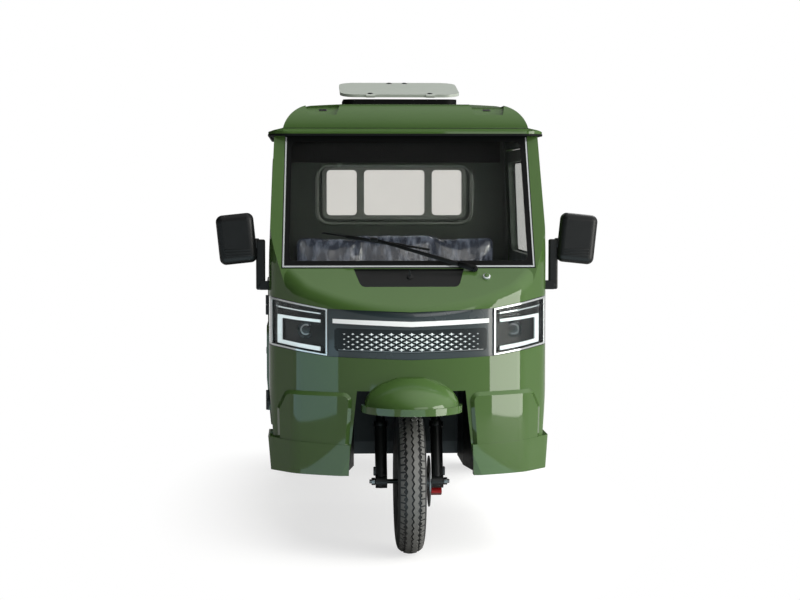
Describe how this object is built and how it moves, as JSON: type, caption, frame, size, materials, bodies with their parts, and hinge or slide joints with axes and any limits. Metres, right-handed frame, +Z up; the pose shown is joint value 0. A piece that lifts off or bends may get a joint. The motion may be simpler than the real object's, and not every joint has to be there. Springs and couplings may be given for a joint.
{
  "type": "electric cargo tricycle",
  "caption": "Closed-cab electric cargo tricycle with a steered front wheel in a telescopic fork, hinged doors, tilting roof lid and an open load bed with drop tailgate",
  "frame": {"origin": "centre of the ground footprint: middle of the overall width and length, at the level where the tyres stand", "axes": "+X to the vehicle's own left, +Y towards the rear, +Z up"},
  "size_m": [1.4882, 3.46, 1.8586],
  "materials": {
    "body_paint": "glossy green paint",
    "black_steel": "satin black paint",
    "black_plastic": "grained black plastic",
    "rubber_seal": "matte black rubber",
    "clear_glass": "clear flat glass",
    "lid_glass": "silver tinted glass",
    "lamp_lens": "clear moulded lens",
    "grille_plastic": "dark blue grey gloss",
    "light_bar_white": "milky white light guide",
    "grille_clear": "clear faceted lens",
    "tail_red": "red moulded lens",
    "mirror_face": "silvered glass",
    "seat_vinyl": "dark blue grey vinyl",
    "tyre_rubber": "black tyre rubber",
    "rim_steel": "black painted steel",
    "disc_steel": "ground steel",
    "caliper_red": "red anodised"
  },
  "bodies": {
    "chassis": {"back_wall": "body_paint", "back_window_frame": "rubber_seal", "back_window_glass": "clear_glass", "battery_box": "black_plastic", "bed_floor": "black_steel", "bed_headboard": "body_paint", "bed_sides": "body_paint", "cab_floor": "black_steel", "cab_roof": "body_paint", "cab_sides": "body_paint", "chassis_rails": "black_steel", "corner_panels": "body_paint", "cowl_panel": "black_plastic", "crossmembers": "black_steel", "dashboard": "black_plastic", "grille_lens": "grille_clear", "grille_light_bar": "light_bar_white", "grille_panel": "grille_plastic", "headlamp_housings": "black_plastic", "headlamp_lenses": "lamp_lens", "leaf_springs": "black_steel", "mirror_glass": "mirror_face", "mirrors": "black_plastic", "nose_fender": "body_paint", "nose_panel": "body_paint", "rear_axle": "black_steel", "rear_guard": "black_steel", "rear_mudguards": "black_plastic", "seat_back": "seat_vinyl", "seat_base": "black_plastic", "seat_cushion": "seat_vinyl", "steering_head": "black_steel", "sunroof_frame": "rubber_seal", "tail_lamps": "tail_red", "wheel_house": "black_plastic", "windscreen": "clear_glass", "windscreen_seal": "rubber_seal", "wiper": "black_plastic"},
    "steering": {"fork": "black_steel", "handlebar": "black_steel", "brake_caliper": "caliper_red"},
    "front_wheel": {"front_tyre": "tyre_rubber", "front_rim": "rim_steel", "brake_disc": "disc_steel"},
    "rear_wheel_left": {"rear_tyre_left": "tyre_rubber", "rear_rim_left": "rim_steel"},
    "rear_wheel_right": {"rear_tyre_right": "tyre_rubber", "rear_rim_right": "rim_steel"},
    "door_left": {"door_left": "body_paint", "door_glass_left": "clear_glass"},
    "door_right": {"door_right": "body_paint", "door_glass_right": "clear_glass"},
    "tailgate": {"tailgate": "body_paint"},
    "roof_lid": {"roof_lid": "lid_glass"}
  },
  "joints": [
    {"name": "steering_turn", "type": "hinge", "parent": "chassis", "child": "steering", "pos_m": [0, -1.34384, 0.26239], "axis": [0, 0.3746, 0.9272], "range_deg": [-36, 36]},
    {"name": "front_wheel_spin", "type": "hinge", "parent": "steering", "child": "front_wheel", "pos_m": [0, -1.38, 0.277], "axis": [1, 0, 0], "continuous": true},
    {"name": "rear_wheel_left_spin", "type": "hinge", "parent": "chassis", "child": "rear_wheel_left", "pos_m": [0.48, 0.92, 0.277], "axis": [1, 0, 0], "continuous": true},
    {"name": "rear_wheel_right_spin", "type": "hinge", "parent": "chassis", "child": "rear_wheel_right", "pos_m": [-0.48, 0.92, 0.277], "axis": [1, 0, 0], "continuous": true},
    {"name": "door_left_swing", "type": "hinge", "parent": "chassis", "child": "door_left", "pos_m": [0.548, -1.04, 0.9], "axis": [0, 0, -1], "range_deg": [0, 65]},
    {"name": "door_right_swing", "type": "hinge", "parent": "chassis", "child": "door_right", "pos_m": [-0.548, -1.04, 0.9], "axis": [0, 0, 1], "range_deg": [0, 65]},
    {"name": "tailgate_drop", "type": "hinge", "parent": "chassis", "child": "tailgate", "pos_m": [0, 1.72, 0.634], "axis": [-1, 0, 0], "range_deg": [0, 170]},
    {"name": "roof_lid_tilt", "type": "hinge", "parent": "chassis", "child": "roof_lid", "pos_m": [0, -0.668, 1.786], "axis": [1, 0, 0], "range_deg": [-10.5, 0]}
  ]
}
